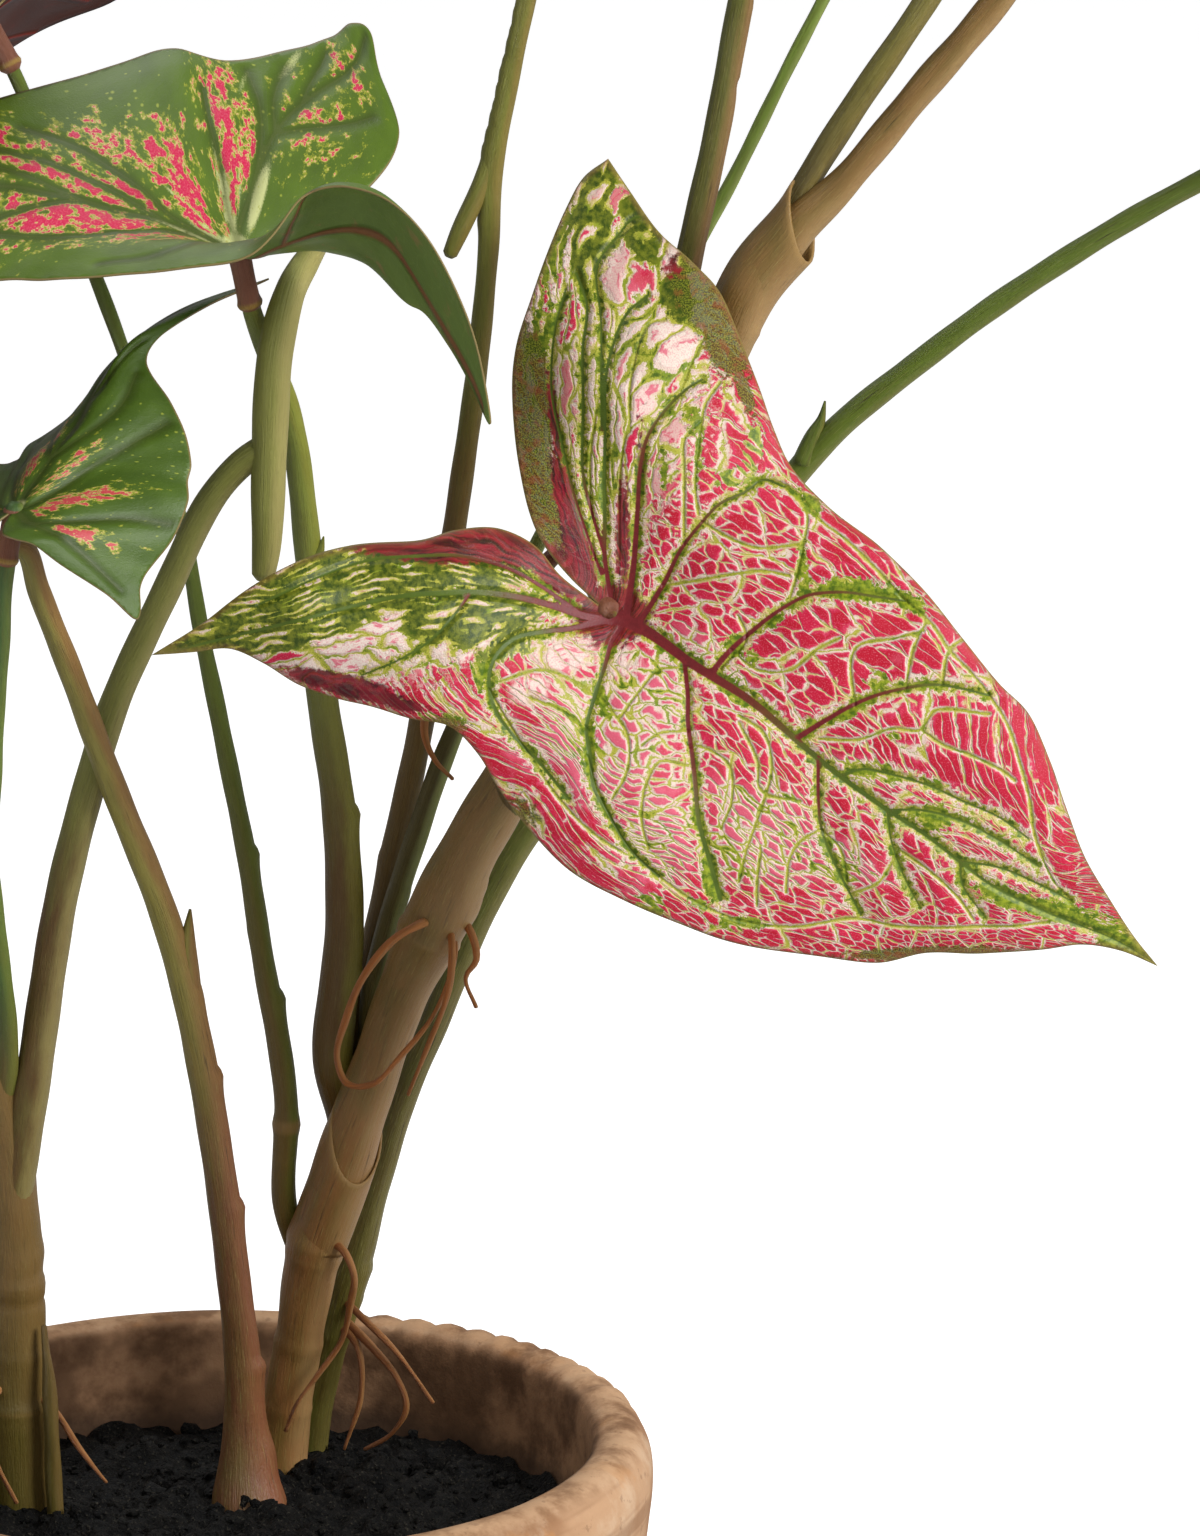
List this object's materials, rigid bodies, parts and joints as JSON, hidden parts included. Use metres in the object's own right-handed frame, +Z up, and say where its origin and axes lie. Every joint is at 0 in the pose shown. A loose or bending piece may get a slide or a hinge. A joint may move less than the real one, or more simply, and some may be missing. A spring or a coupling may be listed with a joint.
{
  "type": "caladium in a bowl",
  "caption": "Leafy caladium with pink and green arrow-shaped leaves on long stems, rising from two canes in a wide clay bowl of dark soil.",
  "frame": {"origin": "centre of the bowl's flat foot, on the surface it stands on", "axes": "+Z up out of the bowl; -Y is the front, which the widest leaf faces; +X is the side that the tall canes lean to"},
  "size_m": [0.7322, 0.348, 0.7506],
  "materials": {
    "terracotta": "weathered unglazed clay with pale bloom",
    "soil": "dark crumbly potting mix",
    "cane": "smooth brown-olive stem skin with a soft sheen",
    "petiole": "smooth green stem skin with a soft sheen",
    "socket": "smooth pinkish-brown sleeve",
    "root": "smooth orange root",
    "pink_leaf": "satin leaf with pink cells between green veins",
    "green_leaf": "satin green leaf with pink blotches"
  },
  "bodies": {
    "root": {"bowl": "terracotta", "soil": "soil", "cane_left": "cane", "cane_right": "cane", "leaf_front": "pink_leaf", "leaf_upper_left": "green_leaf", "leaf_middle_left": "green_leaf", "leaf_corner_left": "green_leaf", "leaf_low_left": "pink_leaf", "leaf_outer_left": "green_leaf", "leaf_back_left": "pink_leaf", "leaf_top_back": "green_leaf", "leaf_top_front": "pink_leaf", "leaf_top_slim": "green_leaf", "leaf_top_fork": "green_leaf", "leaf_top_right": "pink_leaf", "leaf_right": "green_leaf", "socket_front": "socket", "socket_upper_left": "socket", "socket_middle_left": "socket", "socket_corner_left": "socket", "socket_low_left": "socket", "socket_outer_left": "socket", "socket_back_left": "socket", "socket_top_back": "socket", "socket_top_front": "socket", "socket_top_slim": "socket", "socket_top_fork": "socket", "socket_top_right": "socket", "socket_right": "socket", "petiole_front": "petiole", "petiole_upper_left": "petiole", "petiole_middle_left": "petiole", "petiole_corner_left": "petiole", "petiole_low_left": "petiole", "petiole_outer_left": "petiole", "petiole_back_left": "petiole", "petiole_top_back": "petiole", "petiole_top_front": "petiole", "petiole_top_slim": "petiole", "petiole_top_fork": "petiole", "petiole_right": "petiole", "petiole_sheathed": "petiole", "root_node_loop": "root", "root_node_fork": "root", "root_node_short": "root", "root_upper": "root", "root_low_wrap": "root", "root_fan_long": "root", "root_fan_loop": "root", "root_fan_short": "root", "root_left_long": "root", "root_left_outer": "root"}
  },
  "joints": []
}
